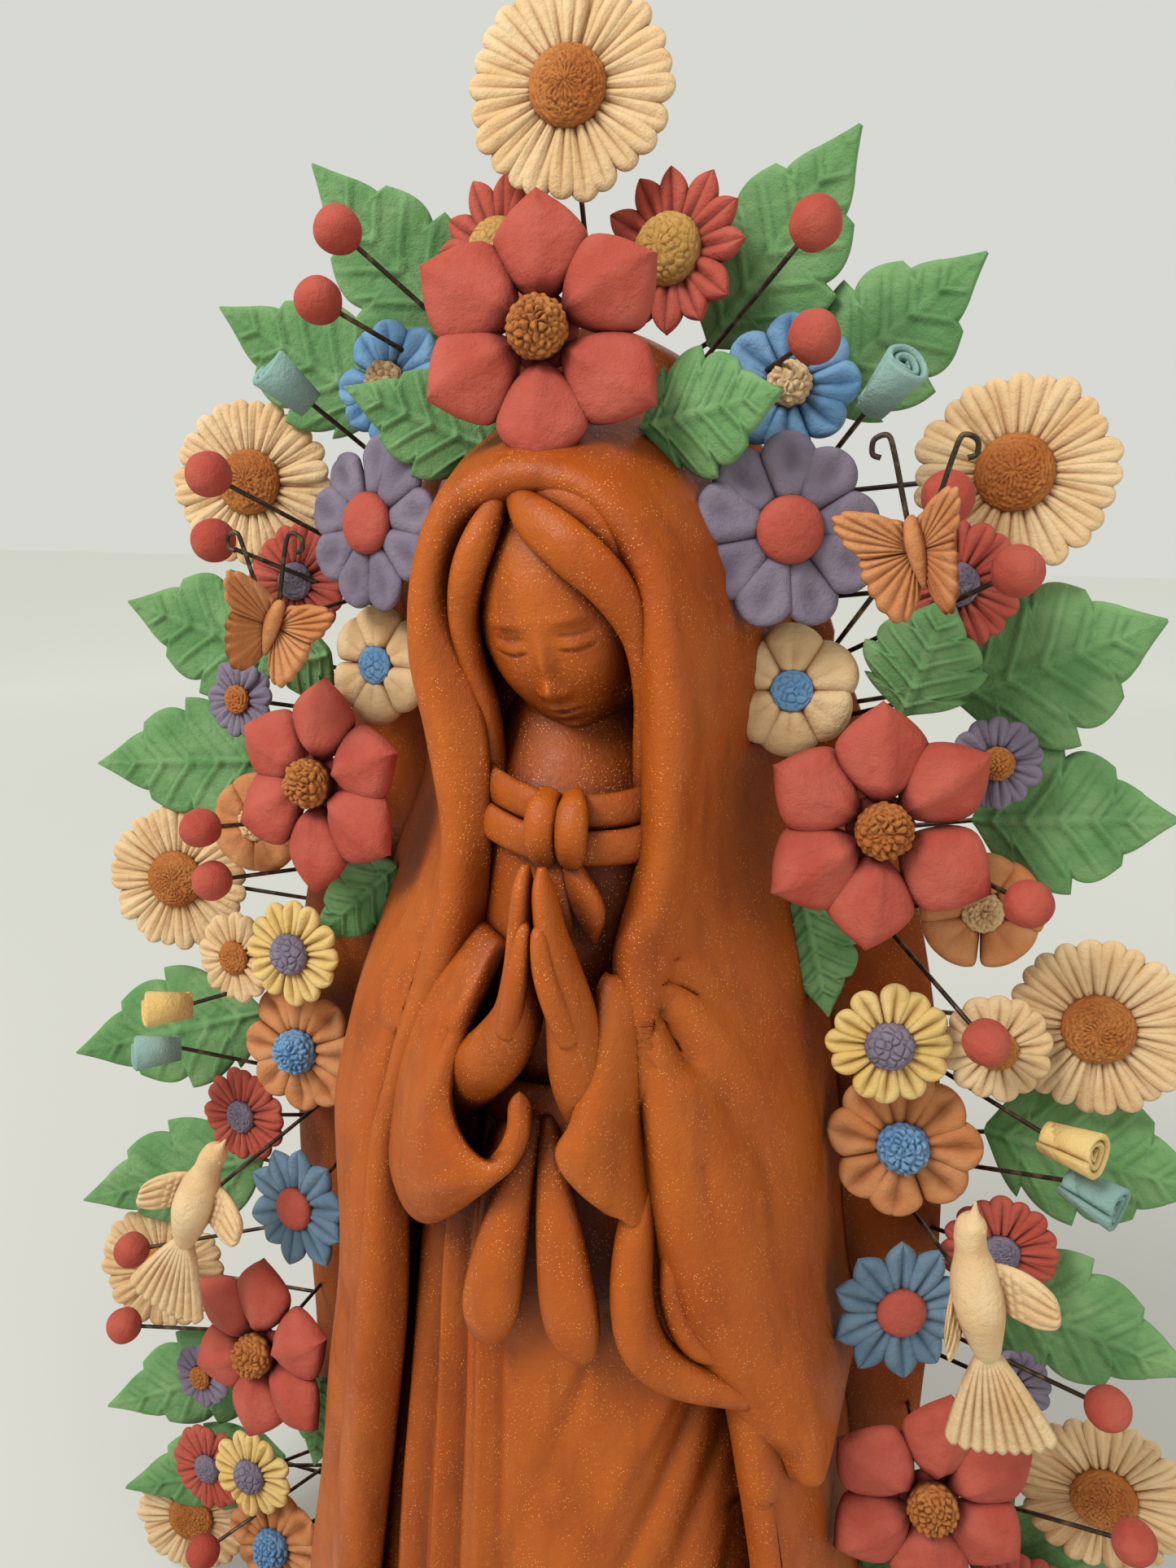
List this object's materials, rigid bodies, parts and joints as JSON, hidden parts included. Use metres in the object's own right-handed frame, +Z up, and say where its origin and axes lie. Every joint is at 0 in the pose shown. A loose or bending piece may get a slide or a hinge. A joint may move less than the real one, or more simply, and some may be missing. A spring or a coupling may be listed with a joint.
{
  "type": "clay tree of life",
  "caption": "Free-standing clay tree of life: a veiled praying figure on an oval plinth, ringed by clay flowers, leaves, berries, rosebuds, butterflies and birds on steel wires.",
  "frame": {"origin": "centre of the plinth's flat underside", "axes": "+Z up, the figure faces -Y, +X is the viewer's right"},
  "size_m": [0.3434, 0.14, 0.4993],
  "materials": {
    "terracotta": "burnished clay with mica",
    "wire": "dark annealed",
    "green_clay": "matte pigmented clay",
    "cream_clay": "matte pigmented clay",
    "rust_clay": "rough matte clay",
    "red_clay": "matte pigmented clay",
    "berry_clay": "matte pigmented clay",
    "purple_clay": "matte pigmented clay",
    "blue_clay": "matte pigmented clay",
    "slate_clay": "matte pigmented clay",
    "orange_clay": "matte pigmented clay",
    "yellow_clay": "matte pigmented clay",
    "teal_clay": "matte pigmented clay"
  },
  "bodies": {
    "tree": {"base_plinth": "terracotta", "berries": "berry_clay", "blue_centres": "blue_clay", "blue_petals": "blue_clay", "bodice": "terracotta", "collar_bands": "terracotta", "collar_knot": "terracotta", "collar_tails": "terracotta", "cream_blossom_petals": "cream_clay", "cream_centres": "cream_clay", "cream_daisy_petals": "cream_clay", "hair": "terracotta", "hand_left": "terracotta", "hand_right": "terracotta", "head": "terracotta", "large_leaves": "green_clay", "lilac_petals": "purple_clay", "mantle_hood": "terracotta", "mantle_left_drape": "terracotta", "mantle_loop_fold": "terracotta", "mantle_right_drape": "terracotta", "orange_petals": "orange_clay", "purple_centres": "purple_clay", "purple_petals": "purple_clay", "red_centres": "red_clay", "red_flower_centres": "rust_clay", "red_flower_petals": "red_clay", "rust_centres": "rust_clay", "sash_band": "terracotta", "sash_tails": "terracotta", "skirt": "terracotta", "slate_petals": "slate_clay", "sleeve_left": "terracotta", "sleeve_right": "terracotta", "small_leaves": "green_clay", "small_red_petals": "red_clay", "stem_wires_left": "wire", "stem_wires_right": "wire", "teal_rosebuds": "teal_clay", "tree_back": "terracotta", "yellow_petals": "yellow_clay", "yellow_rosebuds": "yellow_clay"},
    "top_daisy": {"top_daisy_petals": "cream_clay", "top_daisy_centre": "rust_clay", "top_daisy_wire": "wire"},
    "berry_left": {"top_berry_left": "berry_clay", "top_berry_left_wire": "wire"},
    "berry_right": {"top_berry_right": "berry_clay", "top_berry_right_wire": "wire"},
    "butterfly_left": {"butterfly_left": "orange_clay", "butterfly_left_wires": "wire"},
    "butterfly_right": {"butterfly_right": "orange_clay", "butterfly_right_wires": "wire"},
    "bird_left": {"bird_left": "cream_clay", "bird_left_wire": "wire"},
    "bird_right": {"bird_right": "cream_clay", "bird_right_wire": "wire"}
  },
  "joints": [
    {"name": "top_daisy_sway", "type": "hinge", "parent": "tree", "child": "top_daisy", "pos_m": [0, 0.02, 0.427], "axis": [0, 1, 0], "range_deg": [-5, 5], "stiffness_Nm_per_rad": 1.2},
    {"name": "berry_left_sway", "type": "hinge", "parent": "tree", "child": "berry_left", "pos_m": [-0.02, 0.014, 0.416], "axis": [0, 1, 0], "range_deg": [-5, 5], "stiffness_Nm_per_rad": 1.2},
    {"name": "berry_right_sway", "type": "hinge", "parent": "tree", "child": "berry_right", "pos_m": [0.024, 0.014, 0.416], "axis": [0, 1, 0], "range_deg": [-5, 5], "stiffness_Nm_per_rad": 1.2},
    {"name": "butterfly_left_sway", "type": "hinge", "parent": "tree", "child": "butterfly_left", "pos_m": [-0.054, 0.014, 0.366], "axis": [1, 0, 0], "range_deg": [-5, 5], "stiffness_Nm_per_rad": 1.2},
    {"name": "butterfly_right_sway", "type": "hinge", "parent": "tree", "child": "butterfly_right", "pos_m": [0.06, 0.014, 0.351], "axis": [1, 0, 0], "range_deg": [-5, 5], "stiffness_Nm_per_rad": 1.2},
    {"name": "bird_left_sway", "type": "hinge", "parent": "tree", "child": "bird_left", "pos_m": [-0.084, 0.014, 0.208], "axis": [1, 0, 0], "range_deg": [-4, 4], "stiffness_Nm_per_rad": 1.2},
    {"name": "bird_right_sway", "type": "hinge", "parent": "tree", "child": "bird_right", "pos_m": [0.086, 0.014, 0.208], "axis": [1, 0, 0], "range_deg": [-4, 4], "stiffness_Nm_per_rad": 1.2}
  ]
}
